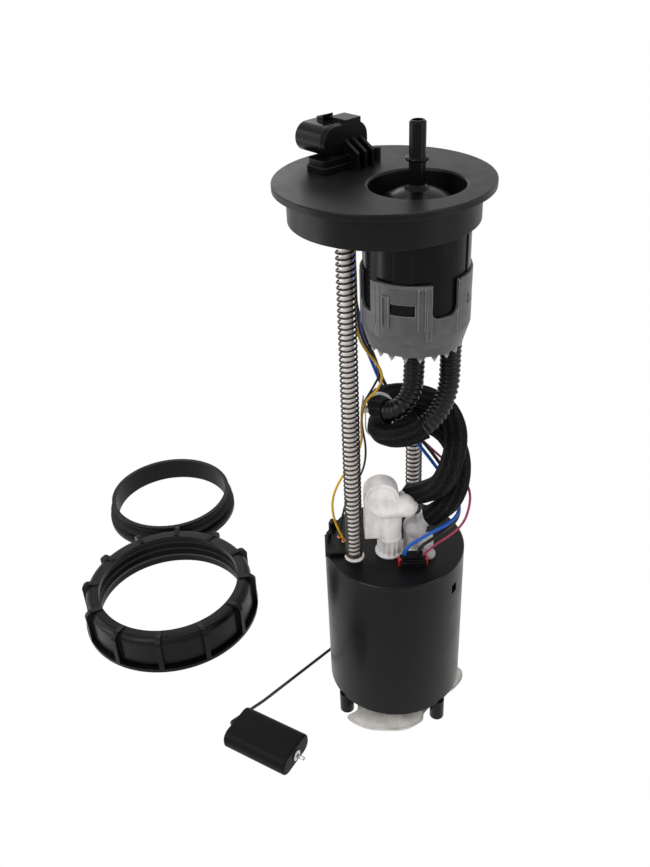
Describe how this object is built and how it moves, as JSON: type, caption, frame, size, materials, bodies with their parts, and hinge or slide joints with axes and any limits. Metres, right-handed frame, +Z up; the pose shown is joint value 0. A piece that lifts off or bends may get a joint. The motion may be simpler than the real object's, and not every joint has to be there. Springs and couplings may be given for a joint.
{
  "type": "fuel pump module",
  "caption": "In-tank fuel pump module: sprung reservoir pot under a sealing flange with filter, hoses, level float, strainer, seal ring and lock ring.",
  "frame": {"origin": "centre of the flange seat face, which rests on the tank neck", "axes": "+Z up along the collar axis; +X to the right and +Y away from the viewer of the picture"},
  "size_m": [0.3345, 0.4095, 0.4545],
  "materials": {
    "satin_black_plastic": "satin",
    "gloss_black_plastic": "semi-gloss",
    "grey_plastic": "satin",
    "white_plastic": "milky",
    "clear_grey_plastic": "milky",
    "red_plastic": "satin",
    "bright_steel": "bright",
    "sintered_magnet": "matte",
    "copper_brass": "bright",
    "hose_plastic": "satin",
    "braid": "woven",
    "rubber": "matte",
    "felt": "felt",
    "paper": "paper",
    "yellow_insulation": "gloss",
    "blue_insulation": "gloss",
    "black_insulation": "gloss",
    "maroon_insulation": "gloss",
    "float_foam": "satin"
  },
  "bodies": {
    "reservoir": {"black_power_wire": "black_insulation", "black_signal_wire": "black_insulation", "blue_wire": "blue_insulation", "cable_tie": "white_plastic", "jet_pump": "white_plastic", "lock_ring": "satin_black_plastic", "maroon_wire": "maroon_insulation", "outlet_tube": "hose_plastic", "plug_locks": "red_plastic", "pressure_regulator": "white_plastic", "pump_body_plate": "satin_black_plastic", "pump_brushes": "copper_brass", "pump_can": "bright_steel", "pump_cradle": "satin_black_plastic", "pump_end_cap": "satin_black_plastic", "pump_inlet_cover": "satin_black_plastic", "pump_isolator": "rubber", "pump_magnets": "sintered_magnet", "pump_plug": "satin_black_plastic", "reservoir_feet": "satin_black_plastic", "reservoir_lid": "satin_black_plastic", "reservoir_shell": "satin_black_plastic", "return_elbow": "clear_grey_plastic", "return_hose": "hose_plastic", "return_sleeve": "braid", "rod_bushes": "satin_black_plastic", "seal_ring": "rubber", "sender_bracket": "satin_black_plastic", "sender_card": "white_plastic", "sender_housing": "satin_black_plastic", "sender_terminals": "copper_brass", "spring_left": "bright_steel", "spring_right": "bright_steel", "strainer_frame": "white_plastic", "strainer_sock": "felt", "supply_elbow": "white_plastic", "supply_hose": "hose_plastic", "supply_sleeve": "braid", "yellow_wire": "yellow_insulation"},
    "flange_unit": {"flange": "satin_black_plastic", "electrical_connector": "gloss_black_plastic", "connector_pins": "copper_brass", "harness_plug": "satin_black_plastic", "filter_head": "gloss_black_plastic", "filter_seal": "rubber", "filter_canister": "gloss_black_plastic", "filter_element": "paper", "filter_cap": "gloss_black_plastic", "filter_basket": "grey_plastic", "guide_rods": "bright_steel", "rod_clips": "bright_steel"},
    "float_lever": {"arm_hub": "satin_black_plastic", "float_arm": "bright_steel", "push_nut": "bright_steel"},
    "float": {"float": "float_foam"},
    "pump_rotor": {"pump_shaft": "bright_steel", "pump_armature": "bright_steel", "pump_commutator": "copper_brass", "pump_impeller": "satin_black_plastic"},
    "foot_valve": {"foot_valve": "rubber"}
  },
  "joints": [
    {"name": "flange_slide", "type": "slide", "parent": "reservoir", "child": "flange_unit", "axis": [0, 0, 1], "range_m": [-0.05, 0], "stiffness_N_per_m": 600, "springref_m": 0.05, "deforming": ["spring_left", "spring_right", "supply_hose", "return_hose", "supply_sleeve", "return_sleeve", "yellow_wire", "black_signal_wire", "blue_wire", "black_power_wire", "maroon_wire", "cable_tie"]},
    {"name": "lever_hinge", "type": "hinge", "parent": "reservoir", "child": "float_lever", "pos_m": [-0.03069, 0.03935, -0.381], "axis": [-0.682, 0.7314, 0], "range_deg": [0, 60]},
    {"name": "float_swivel", "type": "hinge", "parent": "float_lever", "child": "float", "pos_m": [-0.12504, -0.04863, -0.3988], "axis": [0.8443, -0.5358, 0], "continuous": true},
    {"name": "rotor_spin", "type": "hinge", "parent": "reservoir", "child": "pump_rotor", "pos_m": [0.012, -0.008, -0.36], "axis": [0, 0, 1], "continuous": true},
    {"name": "foot_valve_lift", "type": "slide", "parent": "reservoir", "child": "foot_valve", "axis": [0, 0, 1], "range_m": [0, 0.0025]}
  ]
}
